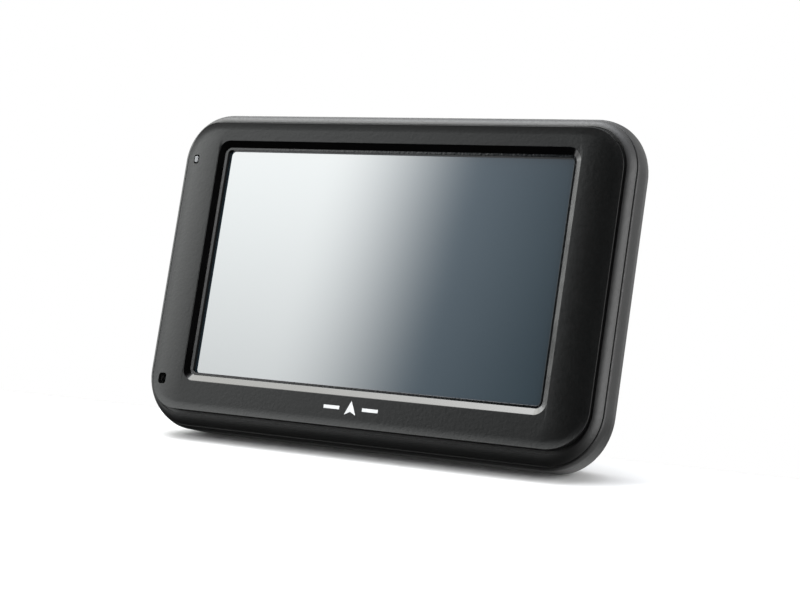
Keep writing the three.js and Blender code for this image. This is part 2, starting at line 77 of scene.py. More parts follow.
FLAT = dict(half=51.2, top=33.0, bottom=-35.2, top_r=4, bottom_r=4)
FACE = dict(half=61.1, top=34.9, bottom=-37.6, top_r=9.2, bottom_r=9.4)
WIDEST = dict(half=64, top=38.1, bottom=-42, top_r=12.6, bottom_r=14)
BACK = dict(half=53, top=31, bottom=-36, top_r=9, bottom_r=9)
FACE_DEPTH = 1.65
FACE_DROP = 1.35  # how far the face curves back at its left and right ends
FACE_BEAD = dict(width=2.1, upright=0.3, sideways=0.14)  # the edge of the face curls forward again
FACE_RIM = 0.12  # the radius where the edge turns into the groove
WIDEST_DEPTH = 7
PARTING_DEPTH = 3.45
GAP = 0.3
WALL = 2
CAVITY_DEPTH = THICKNESS - 1.8
BEZEL_BACK = 1.7
WEB = (6.7, 7.7)  # the mid frame's plate behind the screen
WEB_WINDOW = dict(x=26, size=42, radius=4)
TAB = dict(x=58.6, z=(-14, 12), thick=1.2, tall=8, depths=(1.2, 5))  # they hold the face in the mid frame

OPENING = dict(half=50.93, top=30.22, bottom=-30.22, top_r=3.2, bottom_r=3.2)
TRIM_SLOPE = 1.5
TRIM_DEPTH = 1.0
RIM_INSET = 2.15
TOUCH = (2.0, 3.1)

CORNER_SCREWS = ((-45, 28.5), (45, 28.5), (45, -31), (-45, -31))
SCREW_BORE = 1.3
POST = dict(radius=2.8, back=13)
HEAD_SEAT = dict(radius=2.7, depth=15.4)
LIGHT = (-58.2, 25.5)
LIGHT_HOLE = (1.9, 2.3)
MICROPHONE = (-57.5, -30.3)
MICROPHONE_HOLE = (2.8, 2.7)
SPEAKER = (33, -13)
GRILLE = dict(radius=11.5, pitch=3.1, slot=1.3)
BUTTON = dict(x=38, depth=11.6, width=9, deep=4, top=37.3, low=32.6)
SWITCH = dict(x=-37.5, depth=11.6, travel=3, top=36.9, low=32.6)
LABEL = dict(x=-14, z=-16, width=44, height=20)
CARD_SLOT = dict(depth=11.5, z=10)
JACK = dict(depth=12.5, z=-11, bore=1.8)
USB = dict(depth=12, z=-22, contacts=5, pitch=0.8)
HOOKS = dict(x=(-18, 18), z=-32.4)  # slots in the back for the hooks of a cradle
LATCH = dict(x=0, z=27.6)

CORNER_STEPS = 18


def spot(x, depth, height):
    """A point of the unit, from millimetres to the frame."""
    return Vector((x * MM, FRONT_Y + depth * MM, SCREEN_Z + height * MM))


def about(centre, half):
    return centre - half, centre + half


# ---------------------------------------------------------------- outlines
def blend(low, high, share):
    return {key: low[key] + (high[key] - low[key]) * share for key in low}


def inset(outline, by):
    return dict(
        half=outline["half"] - by,
        top=outline["top"] - by,
        bottom=outline["bottom"] + by,
        top_r=max(0.3, outline["top_r"] - by),
        bottom_r=max(0.3, outline["bottom_r"] - by),
    )


def bulge(share, power):
    """The fullness of a rounded side along a superellipse: 1 at the widest line, 0 at its end."""
    return max(0, 1 - min(1, share) ** power) ** (1 / power)


def side_outline(depth):
    """The body's outline at a depth, cut flat at the underside."""
    if depth < WIDEST_DEPTH:
        outline = blend(FACE, WIDEST, bulge((WIDEST_DEPTH - depth) / (WIDEST_DEPTH - FACE_DEPTH), 2.1))
    else:
        behind = (depth - WIDEST_DEPTH) / (THICKNESS - WIDEST_DEPTH)
        outline = blend(BACK, WIDEST, bulge(behind, 1.5))
        outline["bottom"] = BACK["bottom"] + (WIDEST["bottom"] - BACK["bottom"]) * bulge(behind, 3.5)
    outline["bottom"] = max(outline["bottom"], FOOT)
    return outline


def rectangle(x, z, width, height, radius):
    """A rounded rectangle as an outline with its centre."""
    return dict(
        half=width / 2, top=height / 2, bottom=-height / 2, top_r=radius, bottom_r=radius, x=x, z=z
    )


def ring(outline, depth, steps=CORNER_STEPS):
    """The points of a rounded outline at a depth, counter-clockwise seen from the front."""
    half, top, bottom = outline["half"], outline["top"], outline["bottom"]
    top_r, bottom_r = outline["top_r"], outline["bottom_r"]
    corners = (
        (half - bottom_r, bottom + bottom_r, bottom_r, -90),
        (half - top_r, top - top_r, top_r, 0),
        (-half + top_r, top - top_r, top_r, 90),
        (-half + bottom_r, bottom + bottom_r, bottom_r, 180),
    )
    points = []
    for x, z, radius, start in corners:
        for step in range(steps + 1):
            angle = math.radians(start + 90 * step / steps)
            at = (x + radius * math.cos(angle), z + radius * math.sin(angle))
            points.append(spot(at[0] + outline.get("x", 0), depth, at[1] + outline.get("z", 0)))
    return points


# ---------------------------------------------------------------- meshes
def mesh_object(name, points, faces):
    mesh = bpy.data.meshes.new(name)
    mesh.from_pydata([tuple(p) for p in points], [], faces)
    mesh.update()
    made = bpy.data.objects.new(name, mesh)
    bpy.context.scene.collection.objects.link(made)
    return made


def loft(name, rings, closed=False):
    """Rings of equal count joined one after the other, capped at both ends or closed on themselves."""
    count = len(rings[0])
    points = [p for one in rings for p in one]
    faces = []
    for s in range(len(rings) if closed else len(rings) - 1):
        a, b = s * count, (s + 1) % len(rings) * count
        for i in range(count):
            j = (i + 1) % count
            faces.append((a + i, a + j, b + j, b + i))
    if not closed:
        last = (len(rings) - 1) * count
        faces.append(tuple(reversed(range(count))))
        faces.append(tuple(range(last, last + count)))
    made = mesh_object(name, points, faces)
    work = bmesh.new()
    work.from_mesh(made.data)
    bmesh.ops.remove_doubles(work, verts=work.verts, dist=1e-7)
    bmesh.ops.recalc_face_normals(work, faces=work.faces)
    work.to_mesh(made.data)
    work.free()
    return made


def block(name, outline, depths, edge=0.0, steps=6):
    """An outline pushed through the depth, with rounded rims when edge is given."""
    front, back = depths
    rims = [(0.0, front), (0.0, back)]
    if edge:
        turns = [math.radians(22.5 * k) for k in range(5)]
        rims = [(edge * (1 - math.sin(t)), front + edge * (1 - math.cos(t))) for t in turns]
        rims += [(edge * (1 - math.cos(t)), back - edge * (1 - math.sin(t))) for t in turns]
    rings = []
    for by, depth in rims:
        rim = inset(outline, by)
        rim.update({key: outline[key] for key in ("x", "z") if key in outline})
        rings.append(ring(rim, depth, steps))
    return loft(name, rings)


def turned(name, centre, profile, axis="depth", steps=48, closed=False):
    """A profile of (radius, distance) turned about the depth, or about x, through a centre (x, depth, z)."""
    cx, cd, cz = centre
    rings = []
    for radius, along in profile:
        one = []
        for step in range(steps):
            angle = 2 * math.pi * step / steps
            u, v = max(radius, 1e-4) * math.cos(angle), max(radius, 1e-4) * math.sin(angle)
            one.append(spot(cx + u, along, cz + v) if axis == "depth" else spot(along, cd + u, cz + v))
        rings.append(one)
    return loft(name, rings, closed)


def pin(name, place, radius, depths):
    """A round pin or hole along the depth."""
    return turned(name, (place[0], 0, place[1]), [(radius, depth) for depth in depths])


def boxed(name, xs, depths, zs):
    """A plain cutter between two corners."""
    low, high = spot(xs[0], depths[0], zs[0]), spot(xs[1], depths[1], zs[1])
    points = [(x, y, z) for x in (low.x, high.x) for y in (low.y, high.y) for z in (low.z, high.z)]
    faces = [(0, 1, 3, 2), (4, 6, 7, 5), (0, 4, 5, 1), (2, 3, 7, 6), (0, 2, 6, 4), (1, 5, 7, 3)]
    return mesh_object(name, points, faces)


def combine(target, others, operation):
    """Cuts the others out of the target, or joins them to it, and removes them."""
    for other in others:
        change = target.modifiers.new(operation.lower(), "BOOLEAN")
        change.operation = operation
        change.solver = "EXACT"
        change.object = other
    baked(target)
    for other in others:
        bpy.data.objects.remove(other, do_unlink=True)


def baked(target):
    """Applies the modifiers of an object to its mesh."""
    graph = bpy.context.evaluated_depsgraph_get()
    mesh = bpy.data.meshes.new_from_object(target.evaluated_get(graph))
    target.modifiers.clear()
    old = target.data
    target.data = mesh
    bpy.data.meshes.remove(old)


def smoothed(target, angle=32):
    """Shades smooth and keeps edges over the angle crisp."""
    mesh = target.data
    mesh.shade_smooth()
    mesh.set_sharp_from_angle(angle=math.radians(angle))
    weighted = target.modifiers.new("normals", "WEIGHTED_NORMAL")
    weighted.keep_sharp = True
    return target


def finished(piece, material, node=None, body=HOUSING):
    """Gives a piece its material and body, and hides the CAD node that it stands for."""
    piece.data.materials.clear()
    piece.data.materials.append(material)
    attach(piece, body)
    if node:
        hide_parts(node)


# ---------------------------------------------------------------- materials
class Shader:
    """A material with its node tree, a Principled shader and short ways to add nodes."""

    def __init__(self, name, **sockets):
        self.material = bpy.data.materials.new(name)
        self.material.use_nodes = True
        self.tree = self.material.node_tree
        self.surface = self.tree.nodes["Principled BSDF"]
        self.place = self.node("ShaderNodeTexCoord").outputs["Object"]
        for key, value in sockets.items():
            self.surface.inputs[key.replace("_", " ")].default_value = value

    def node(self, kind, **values):
        made = self.tree.nodes.new(kind)
        for key, value in values.items():
            socket = key.replace("_", " ")
            if socket in made.inputs:
                made.inputs[socket].default_value = value
            else:
                setattr(made, key, value)
        return made

    def link(self, output, target):
        self.tree.links.new(output, target)

    def noise(self, size, detail=4.0, roughness=0.6):
        """Noise with features of a size in millimetres."""
        made = self.node("ShaderNodeTexNoise", Scale=1 / (size * MM), Detail=detail, Roughness=roughness)
        self.link(self.place, made.inputs["Vector"])
        return made.outputs["Fac"]

    def ranged(self, value, low, high, start=0.3, end=0.7):
        made = self.node("ShaderNodeMapRange")
        for key, number in (("From Min", start), ("From Max", end), ("To Min", low), ("To Max", high)):
            made.inputs[key].default_value = number
        self.link(value, made.inputs["Value"])
        return made.outputs["Result"]

    def tinted(self, value, low, high, start=0.3, end=0.7):
        """A colour between two, by a value."""
        made = self.node("ShaderNodeMix", data_type="RGBA")
        made.inputs[6].default_value = (*low, 1)
        made.inputs[7].default_value = (*high, 1)
        self.link(self.ranged(value, 0, 1, start, end), made.inputs[0])
        self.link(made.outputs[2], self.surface.inputs["Base Color"])

    def rough(self, value, low, high):
        self.link(self.ranged(value, low, high), self.surface.inputs["Roughness"])

    def bumped(self, value, height, strength=1.0):
        """Bump of a height in millimetres."""
        made = self.node("ShaderNodeBump", Strength=strength, Distance=height * MM)
        self.link(value, made.inputs["Height"])
        self.link(made.outputs["Normal"], self.surface.inputs["Normal"])


def plain(name, low, high, rough, size, bump=0.004, metallic=0.0):
    """A material whose colour and roughness wander a little, with a fine surface grain."""
    shader = Shader(name, Metallic=metallic)
    wander = shader.noise(size * 6)
    shader.tinted(wander, low, high)
    shader.rough(shader.noise(size * 2), *rough)
    shader.bumped(shader.noise(size), bump)
    return shader.material


def shell_plastic(name, specular, rough):
    """Dark charcoal plastic with a fine moulded grain."""
    shader = Shader(name, Specular_IOR_Level=specular)
    shader.tinted(shader.noise(9, 3), (0.0013, 0.0014, 0.0014), (0.0019, 0.002, 0.002))
    grain = shader.noise(0.75, 3, 0.6)
    shader.rough(grain, *rough)
    shader.bumped(grain, 0.036, 1)
    return shader.material


def gloss_black():
    shader = Shader("gloss_black", Specular_IOR_Level=0.6)
    shader.tinted(shader.noise(12, 2), (0.0003, 0.0003, 0.0003), (0.0006, 0.0006, 0.0007))
    shader.rough(shader.noise(5, 3), 0.1, 0.14)
    shader.bumped(shader.noise(1.4, 2), 0.001, 0.5)
    return shader.material


def screen_glass():
    """The touch panel over the dark display: blue-grey, with a soft reflection."""
    shader = Shader("screen_glass", IOR=2.05)
    shader.tinted(shader.noise(40, 1), (0.006, 0.013, 0.018), (0.008, 0.016, 0.021))
    shader.rough(shader.noise(18, 2), 0.03, 0.04)
    shader.bumped(shader.noise(0.09, 1), 0.0002, 0.3)
    return shader.material


def brushed(name, colour, rough=(0.28, 0.42)):
    """Sheet metal with fine lines along x."""
    shader = Shader(name, Metallic=1.0)
    stretch = shader.node("ShaderNodeMapping")
    stretch.inputs["Scale"].default_value = (0.06, 1, 1)
    shader.link(shader.place, stretch.inputs["Vector"])
    lines = shader.node("ShaderNodeTexNoise", Scale=1 / (0.12 * MM), Detail=3)
    shader.link(stretch.outputs["Vector"], lines.inputs["Vector"])
    shader.tinted(shader.noise(4), [c * 0.85 for c in colour], colour)
    shader.rough(lines.outputs["Fac"], *rough)
    shader.bumped(lines.outputs["Fac"], 0.002, 0.5)
    return shader.material


def circuit_board():
    """Green solder mask with faint tracks under it."""
    shader = Shader("circuit_board", Specular_IOR_Level=0.5)
    tracks = shader.node("ShaderNodeTexVoronoi", Scale=1 / (2.2 * MM), feature="DISTANCE_TO_EDGE")
    shader.link(shader.place, tracks.inputs["Vector"])
    shader.tinted(tracks.outputs["Distance"], (0.03, 0.16, 0.06), (0.012, 0.09, 0.035), 0.04, 0.07)
    shader.rough(shader.noise(1.5), 0.3, 0.45)
    shader.bumped(tracks.outputs["Distance"], 0.01, 0.3)
    return shader.material


MATERIALS = {
    "shell": shell_plastic("shell_plastic", 0.3, (0.46, 0.54)),
    "face": shell_plastic("face_plastic", 0.155, (0.3, 0.36)),
    "gloss_trim": gloss_black(),
    "touch_glass": screen_glass(),
    "panel": plain("display_panel", (0.01, 0.012, 0.015), (0.016, 0.019, 0.023), (0.08, 0.16), 2),
    "tin_plate": brushed("tin_plate", (0.56, 0.57, 0.58)),
    "screw_steel": brushed("screw_steel", (0.3, 0.31, 0.33), (0.22, 0.4)),
    "circuit_board": circuit_board(),
    "chip": plain("chip_epoxy", (0.011, 0.011, 0.012), (0.02, 0.02, 0.021), (0.4, 0.6), 0.2),
    "ceramic": plain("ceramic", (0.52, 0.45, 0.33), (0.68, 0.61, 0.48), (0.55, 0.75), 0.3),
    "cell": plain("cell_foil", (0.5, 0.52, 0.54), (0.66, 0.68, 0.7), (0.25, 0.4), 1.2, 0.02, 0.9),
    "foam": plain("foam", (0.014, 0.014, 0.015), (0.035, 0.035, 0.037), (0.85, 1.0), 0.25, 0.05),
    "rubber": plain("rubber", (0.009, 0.009, 0.009), (0.018, 0.018, 0.018), (0.7, 0.9), 0.3),
    "light_guide": plain("light_guide", (0.11, 0.115, 0.12), (0.15, 0.155, 0.16), (0.35, 0.5), 0.5),
    "polyimide": plain("polyimide", (0.36, 0.12, 0.02), (0.5, 0.2, 0.04), (0.25, 0.4), 1),
    "socket": plain("socket_nylon", (0.012, 0.012, 0.013), (0.02, 0.02, 0.021), (0.45, 0.6), 0.2),
    "rim": shell_plastic("rim_plastic", 0.16, (0.06, 0.1)),
    "cone": plain("speaker_cone", (0.02, 0.02, 0.021), (0.045, 0.045, 0.047), (0.75, 0.95), 0.2, 0.02),
    "label": plain("label_film", (0.3, 0.31, 0.32), (0.36, 0.37, 0.38), (0.3, 0.42), 0.3, 0.002, 0.35),
    "print": plain("white_print", (0.4, 0.405, 0.41), (0.48, 0.485, 0.49), (0.4, 0.55), 0.2, 0.002),
    "gold": brushed("gold_contact", (0.75, 0.52, 0.2), (0.2, 0.3)),
}


# ---------------------------------------------------------------- shells
def face_ring(share, rim=0.0):
    """A ring of the face: share runs from its flat middle to the edge, rim is a turn round it in degrees."""
    turn = math.radians(rim)
    edge = inset(FACE, FACE_RIM * (1 - math.sin(turn)))
    points = []
    for index, point in enumerate(ring(blend(FLAT, edge, share), 0)):
        corner, step = divmod(index, CORNER_STEPS + 1)
        angle = math.radians(90 * (corner - 1 + step / CORNER_STEPS))
        sideways, upright = math.cos(angle) ** 2, math.sin(angle) ** 2
        end = "top" if math.sin(angle) > 0 else "bottom"
        width = (FACE["half"] - FLAT["half"]) * sideways + abs(FLAT[end] - FACE[end]) * upright
        left = min(1, width * (1 - share) / FACE_BEAD["width"])
        rise = FACE_BEAD["upright"] * upright + FACE_BEAD["sideways"] * sideways
        depth = FACE_DROP * sideways * share**2 - rise * (1 - left) ** 2
        depth = min(depth + FACE_RIM * (1 - math.cos(turn)), FACE_DEPTH)
        points.append(point + Vector((0, depth * MM, 0)))
    return points


def front_bezel():
    """The face: flat round the screen, curving back to a small rim all round."""
    fillet = 0.12
    rings = [ring(OPENING, BEZEL_BACK)]
    for k in range(4):
        turn = math.radians(30 * k)
        rings.append(ring(inset(OPENING, -fillet * (1 - math.cos(turn))), fillet * (1 - math.sin(turn))))
    rings += [face_ring(1 - (1 - k / 24) ** 1.5) for k in range(25)]
    rings += [face_ring(1, rim) for rim in (18, 36, 54, 72, 90)]
    rings.append(ring(FACE, BEZEL_BACK))
    bezel = loft("front_bezel_shell", rings, closed=True)
    holes = [
        block("light_hole", rectangle(*LIGHT, *LIGHT_HOLE, 0.6), (-1, 3)),
        block("microphone_hole", rectangle(*MICROPHONE, *MICROPHONE_HOLE, 0.9), (-1, 3)),
    ]
    tabs = [
        boxed("tab", about(side * TAB["x"], TAB["thick"] / 2), TAB["depths"], about(z, TAB["tall"] / 2))
        for side in (-1, 1)
        for z in TAB["z"]
    ]
    combine(bezel, tabs, "UNION")
    combine(bezel, holes, "DIFFERENCE")
    finished(smoothed(bezel, 35), MATERIALS["face"], "front_bezel")


def mid_frame():
    """The band round the face, its skirt in the rear cover, the plate behind the screen and the posts."""
    outer = inset(side_outline(PARTING_DEPTH + GAP), WALL + GAP + 0.05)
    inner = inset(outer, 1.2)
    start = FACE_DEPTH + 0.08
    lip = inset(side_outline(start), 0.05)
    rings = [ring(lip, 2.0)]
    steps = 12
    for k in range(steps + 1):
        depth = start + (PARTING_DEPTH - 0.06 - start) * (k / steps) ** 1.4
        rings.append(ring(side_outline(depth), depth))
    rings.append(ring(inset(side_outline(PARTING_DEPTH), 0.06), PARTING_DEPTH))
    for outline, depth in ((outer, PARTING_DEPTH), (outer, WEB[1]), (inner, WEB[1]), (inner, 2.0)):
        rings.append(ring(outline, depth))
    band = loft("mid_frame_shell", rings, closed=True)
    web = block("web", inset(outer, 0.6), WEB)
    through = (WEB[0] - 1, WEB[1] + 1)
    size = WEB_WINDOW["size"]
    holes = [
        block("window", rectangle(side * WEB_WINDOW["x"], 0, size, size, WEB_WINDOW["radius"]), through)
        for side in (-1, 1)
    ]
    holes.append(boxed("ribbon_slot", (-13, 13), through, (-36.8, -34.4)))
    holes.append(pin("light_way", (LIGHT[0] + 0.6, LIGHT[1]), 1.7, through))
    combine(web, holes, "DIFFERENCE")
    posts = [pin("post", place, POST["radius"], (WEB[1] - 0.5, POST["back"])) for place in CORNER_SCREWS]
    bores = [pin("bore", place, SCREW_BORE, (WEB[1] + 0.1, POST["back"] + 1)) for place in CORNER_SCREWS]
    combine(band, [web, *posts], "UNION")
    combine(band, bores, "DIFFERENCE")
    finished(smoothed(band, 35), MATERIALS["shell"], "mid_frame")


def grille_slots(through):
    """Rows of slots that fill a circle before the speaker."""
    slots = []
    for row in range(-3, 4):
        z = row * GRILLE["pitch"]
        half = math.sqrt(GRILLE["radius"] ** 2 - z**2)
        outline = rectangle(SPEAKER[0], SPEAKER[1] + z, 2 * half, GRILLE["slot"], 0.62)
        slots.append(block("slot", outline, through))
    return slots


def side_openings():
    """The cutters for the sockets in the left wall and for the button and the switch in the top wall."""
    sockets = (-66, -57)
    roof = (34, 40)
    width, deep = BUTTON["width"] / 2 + GAP, BUTTON["deep"] / 2 + GAP
    slide = (SWITCH["x"] - 2.5, SWITCH["x"] + SWITCH["travel"] + 2.5)
    return [
        boxed("card_slot", sockets, about(CARD_SLOT["depth"], 1.4), about(CARD_SLOT["z"], 12.7)),
        turned("jack_hole", (0, JACK["depth"], JACK["z"]), [(3, x) for x in sockets], axis="x"),
        boxed("usb_slot", sockets, about(USB["depth"], 2.4), about(USB["z"], 4.4)),
        boxed("button_hole", about(BUTTON["x"], width), about(BUTTON["depth"], deep), roof),
        boxed("switch_slot", slide, about(SWITCH["depth"], 1.3), roof),
    ]


def back_openings():
    """The cutters for the cradle's slots, the label's seat and the grille in the back wall."""
    through = (CAVITY_DEPTH - 1, THICKNESS + 1)
    seat = rectangle(LABEL["x"], LABEL["z"], LABEL["width"] + 2 * GAP, LABEL["height"] + 2 * GAP, 1.5)
    return [
        *(boxed("hook_slot", about(x, 4), through, about(HOOKS["z"], 1.2)) for x in HOOKS["x"]),
        boxed("latch_slot", about(LATCH["x"], 6), through, about(LATCH["z"], 1.2)),
        block("label_seat", seat, (THICKNESS - 0.7, THICKNESS + 1)),
        *grille_slots(through),
    ]


def screw_openings():
    """The cutters for the screws' bores and for the seats of their heads, with a chamfered mouth."""
    radius, chamfer = HEAD_SEAT["radius"], 0.4
    mouth = [(radius, HEAD_SEAT["depth"]), (radius, THICKNESS - chamfer)]
    mouth += [(radius + chamfer, THICKNESS), (radius + chamfer, THICKNESS + 1)]
    bores = [pin("bore", place, SCREW_BORE, (POST["back"], THICKNESS + 1)) for place in CORNER_SCREWS]
    return bores + [turned("seat", (x, 0, z), mouth) for x, z in CORNER_SCREWS]


def rear_cover():
    """The rear cover: a tray with rounded sides, screw bosses, socket openings and a speaker grille."""
    start = PARTING_DEPTH + GAP + 0.05
    edge = 0.28
    ahead = [start + edge + (WIDEST_DEPTH - start - edge) * k / 8 for k in range(8)]
    steps = 24
    turns = [math.pi / 2 * k / steps for k in range(steps + 1)]
    depths = ahead + [WIDEST_DEPTH + (THICKNESS - WIDEST_DEPTH) * math.sin(turn) for turn in turns]
    outside = []
    for turn in (math.radians(22.5 * k) for k in range(4)):
        depth = start + edge * (1 - math.cos(turn))
        outside.append(ring(inset(side_outline(depth), edge * (1 - math.sin(turn))), depth))
    outside += [ring(side_outline(depth), depth) for depth in depths]
    inner_depths = [start, *(d for d in depths if start < d < CAVITY_DEPTH - 0.4), CAVITY_DEPTH]
    inside = [ring(inset(side_outline(depth), WALL), depth) for depth in inner_depths]
    cover = loft("rear_cover_shell", inside[::-1] + outside)
    boss = (POST["back"] + GAP, CAVITY_DEPTH + 0.5)
    combine(cover, [pin("boss", place, 3.6, boss) for place in CORNER_SCREWS], "UNION")
    combine(cover, screw_openings() + side_openings() + back_openings(), "DIFFERENCE")
    finished(smoothed(cover, 35), MATERIALS["shell"], "rear_cover")


def screen_trim():
    """The glossy frame: one sloping wall all round the screen, as a path of (inset, depth)."""
    path = [(0.02, 0.12), (TRIM_SLOPE - 0.03, TRIM_DEPTH - 0.01), (TRIM_SLOPE, TRIM_DEPTH + 0.02)]
    path += [(TRIM_SLOPE, BEZEL_BACK), (0.02, BEZEL_BACK)]
    trim = loft("screen_trim_frame", [ring(inset(OPENING, by), depth) for by, depth in path], closed=True)
    finished(smoothed(trim, 12), MATERIALS["gloss_trim"], "screen_trim")


def screen_rim():
    """The narrow matt rim inside the trim, and its upright wall down to the glass."""
    front, back = TRIM_DEPTH + 0.05, TOUCH[0] - 0.02
    path = [(TRIM_SLOPE + 0.03, front), (RIM_INSET - 0.07, front), (RIM_INSET, front + 0.07)]
    path += [(RIM_INSET, back), (TRIM_SLOPE + 0.03, back)]
    rim = loft("screen_rim", [ring(inset(OPENING, by), depth) for by, depth in path], closed=True)
    finished(smoothed(rim, 20), MATERIALS["rim"])


def touch_panel():
    """The touch glass behind the rim."""
    glass = block("touch_glass", rectangle(0, 0, 103.6, 62.6, 1.5), TOUCH, edge=0.1)
    finished(smoothed(glass), MATERIALS["touch_glass"], "touch_panel")


# ---------------------------------------------------------------- small pieces of the face
def face_mark():
    """A generic printed mark under the screen: an arrow head between two short bars."""
    height = -33.1
    arrow = [(0, 1.9), (1.6, -1.5), (0, -0.7), (-1.6, -1.5)]
    marks = [[(x, z) for x, z in reversed(arrow)]]
    for side in (-1, 1):
        marks.append([(side * 3.2, -0.4), (side * 3.2, 0.4), (side * 7.6, 0.4), (side * 7.6, -0.4)])
    for number, outline in enumerate(marks):
        front = [spot(x, -0.02, height + z) for x, z in outline]
        rear = [spot(x, 0.05, height + z) for x, z in outline]
        mark = loft(f"face_mark_{number + 1}", [front, rear])
        finished(smoothed(mark), MATERIALS["print"])


def light_pipe():
    """The status light's window in the face."""
    pipe = block("light_window", rectangle(*LIGHT, 1.05, 1.6, 0.4), (0.55, 3), edge=0.12)
    finished(smoothed(pipe), MATERIALS["light_guide"], "light_pipe")


# ---------------------------------------------------------------- button and switch
def top_rings(x, depth, width, deep, heights, radius):
    """Rings of a piece that stands up through the top edge, as (height, inset) pairs from low to high."""
    rings = []
    for height, by in heights:
        one = []
        half_w, half_d = width / 2 - by, deep / 2 - by
        turn_r = max(0.05, radius - by)
        for cx, cd, start in (
            (half_w - turn_r, half_d - turn_r, 0),
            (-half_w + turn_r, half_d - turn_r, 90),
            (-half_w + turn_r, -half_d + turn_r, 180),
            (half_w - turn_r, -half_d + turn_r, 270),
        ):
            for step in range(9):
                angle = math.radians(start + 90 * step / 8)
                px, pd = cx + turn_r * math.cos(angle), cd + turn_r * math.sin(angle)
                one.append(spot(x + px, depth + pd, height))
        rings.append(one)
    return rings


def crowned(low, top, edge, rise):
    """Heights and insets of a cap with rounded rims and a slightly domed top."""
    heights = [(low, 0), (low + 0.1, 0), (top - edge - rise, 0)]
    for k in range(1, 6):
        turn = math.radians(18 * k)
        heights.append((top - edge - rise + edge * math.sin(turn), edge * (1 - math.cos(turn))))
    heights.append((top - rise * 0.4, edge * 2.2))
    heights.append((top, edge * 4))
    return heights


def power_button():
    """The button's cap with a flange under the cover and a short dash sunk in its top."""
    b = BUTTON
    crown = crowned(33, b["top"], 0.3, 0.12)
    cap = loft("power_button_cap", top_rings(b["x"], b["depth"], b["width"], b["deep"], crown, 0.9))
    foot = [(b["low"], 0), (33.4, 0)]
    flange = loft("flange", top_rings(b["x"], b["depth"] - 0.35, b["width"] + 2, 4.3, foot, 0.5))
    combine(cap, [flange], "UNION")
    groove = [(b["top"] - 0.15, 0), (b["top"] + 1, 0)]
    dash = loft("dash", top_rings(b["x"], b["depth"], 3.2, 0.7, groove, 0.34))
    combine(cap, [dash], "DIFFERENCE")
    finished(smoothed(cap), MATERIALS["gloss_trim"], "power_button", "power_button")


def battery_switch():
    """The switch's knob on a shoe under the cover, with three grip grooves."""
    s = SWITCH
    crown = crowned(32.6, s["top"], 0.2, 0.02)
    knob = loft("battery_switch_cap", top_rings(s["x"], s["depth"], 3.6, 1.8, crown, 0.4))
    shoe = loft("shoe", top_rings(s["x"], s["depth"], 4.4, 2.8, [(s["low"], 0), (33.4, 0)], 0.3))
    combine(knob, [shoe], "UNION")
    grooves = []
    for shift in (-0.9, 0, 0.9):
        heights = [(s["top"] - 0.25, 0), (s["top"] + 1, 0)]
        grooves.append(loft("groove", top_rings(s["x"] + shift, s["depth"], 0.3, 3, heights, 0.1)))
    combine(knob, grooves, "DIFFERENCE")
    finished(smoothed(knob), MATERIALS["gloss_trim"], "battery_switch_knob", "battery_switch")


# ---------------------------------------------------------------- back and left side
def cover_screws():
    """Pan-head screws deep in the rear cover, each with a cross recess."""
    seat, radius, head = 15.7, 2.3, 1.5
    for number, (x, z) in enumerate(CORNER_SCREWS, 1):
        rims = [(0, 8.2), (0.6, 8.2), (0.95, 8.8), (0.95, seat), (radius - 0.1, seat), (radius, seat + 0.1)]
        for turn in (math.radians(15 * k) for k in range(6)):
            rims.append((radius * math.cos(turn) ** 0.6, seat + 0.5 + (head - 0.5) * math.sin(turn)))
        rims.append((0, seat + head))
        screw = turned(f"cover_screw_{number}_head", (x, 0, z), rims, steps=36)
        deep = (seat + 0.7, seat + 3)
        arm, half = 1.25, 0.3
        cross = [boxed("cross", (x - arm, x + arm), deep, (z - half, z + half))]
        cross.append(boxed("cross", (x - half, x + half), deep, (z - arm, z + arm)))
        combine(screw, cross, "DIFFERENCE")
        finished(smoothed(screw), MATERIALS["screw_steel"], f"cover_screw_{number}")


def rating_label():
    """A blank label sunk in the back."""
    outline = rectangle(LABEL["x"], LABEL["z"], LABEL["width"], LABEL["height"], 1.2)
    label = block("blank_label", outline, (THICKNESS - 0.35, THICKNESS - 0.1), 0.05)
    finished(smoothed(label), MATERIALS["label"], "rating_label")


def jack_socket():
    """The headphone jack: a nylon block with a turned nose and a metal collar in its mouth."""
    axle, bore = (0, JACK["depth"], JACK["z"]), JACK["bore"]
    body = block("headphone_jack_block", rectangle(-51, JACK["z"], 12, 6, 0.4), (10, 15), edge=0.2)
    nose = turned("nose", axle, [(2.5, -46), (2.5, -58.8), (2.3, -59)], axis="x")
    combine(body, [nose], "UNION")
    combine(body, [turned("bore", axle, [(bore, -47), (bore, -60)], axis="x")], "DIFFERENCE")
    finished(smoothed(body), MATERIALS["socket"], "headphone_jack")
    flare = [(1.5, -58.2), (1.78, -58.2), (2.2, -58.95), (2.2, -59.12), (1.75, -59.12)]
    collar = turned("jack_collar", axle, flare, axis="x", closed=True)
    finished(smoothed(collar), MATERIALS["tin_plate"])


def usb_contacts():
    """Gold contacts on the tongue of the charging socket."""
    for number in range(USB["contacts"]):
        z = USB["z"] + (number - (USB["contacts"] - 1) / 2) * USB["pitch"]
        contact = block(f"usb_contact_{number + 1}", rectangle(-54, z, 6, 0.4, 0.08), (12.41, 12.5), 0.02)
        finished(smoothed(contact), MATERIALS["gold"])


def speaker_cloth():
    """A thin dust screen between the grille and the speaker."""
    radius, front, back = 13.4, 16.95, 17.1
    profile = [(0, front), (radius, front), (radius, back), (0, back)]
    cloth = turned("speaker_cloth", (SPEAKER[0], 0, SPEAKER[1]), profile)
    finished(smoothed(cloth), MATERIALS["foam"])


